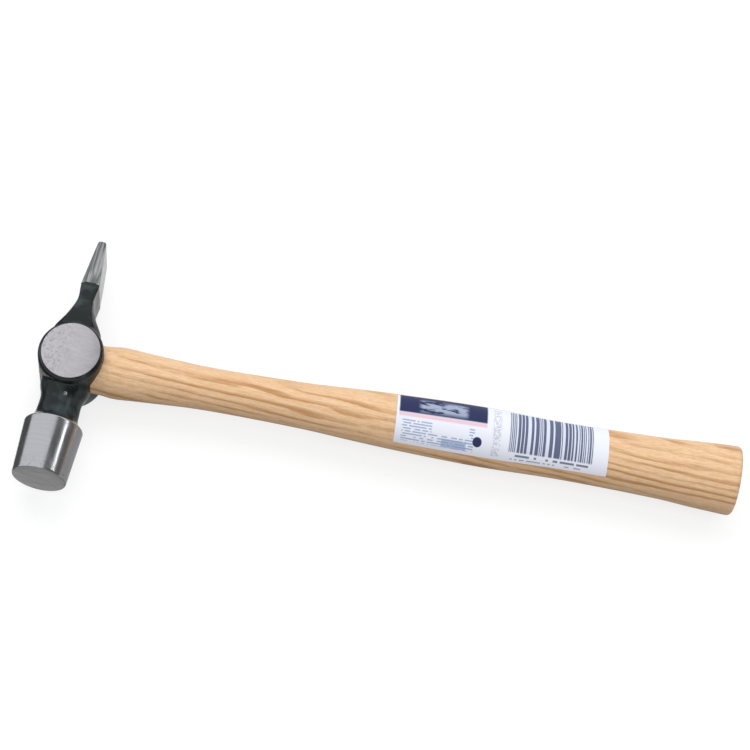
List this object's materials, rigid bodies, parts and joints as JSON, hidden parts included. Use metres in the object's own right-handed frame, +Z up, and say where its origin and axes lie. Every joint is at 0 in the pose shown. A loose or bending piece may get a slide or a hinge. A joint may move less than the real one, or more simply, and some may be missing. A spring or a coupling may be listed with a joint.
{
  "type": "cross pein pin hammer",
  "caption": "Small hand hammer with a round tapered poll, a flat cross pein and a wedged oval ash handle, lying on one ground cheek.",
  "frame": {"origin": "middle of the lower ground cheek of the head, straight below the centre of the eye", "axes": "+X along the handle to its butt, +Y along the head from the striking face to the pein, +Z up, from the lower cheek to the upper one"},
  "size_m": [0.2414, 0.089, 0.0218],
  "materials": {
    "black_lacquer": "gloss",
    "ash_wood": "satin",
    "wedge_wood": "matte",
    "bright_steel": "satin",
    "printed_paper": "satin"
  },
  "bodies": {
    "root": {"hammer_head": "black_lacquer", "handle": "ash_wood", "timber_wedge": "wedge_wood", "steel_wedge": "bright_steel", "handle_label": "printed_paper"}
  },
  "joints": []
}
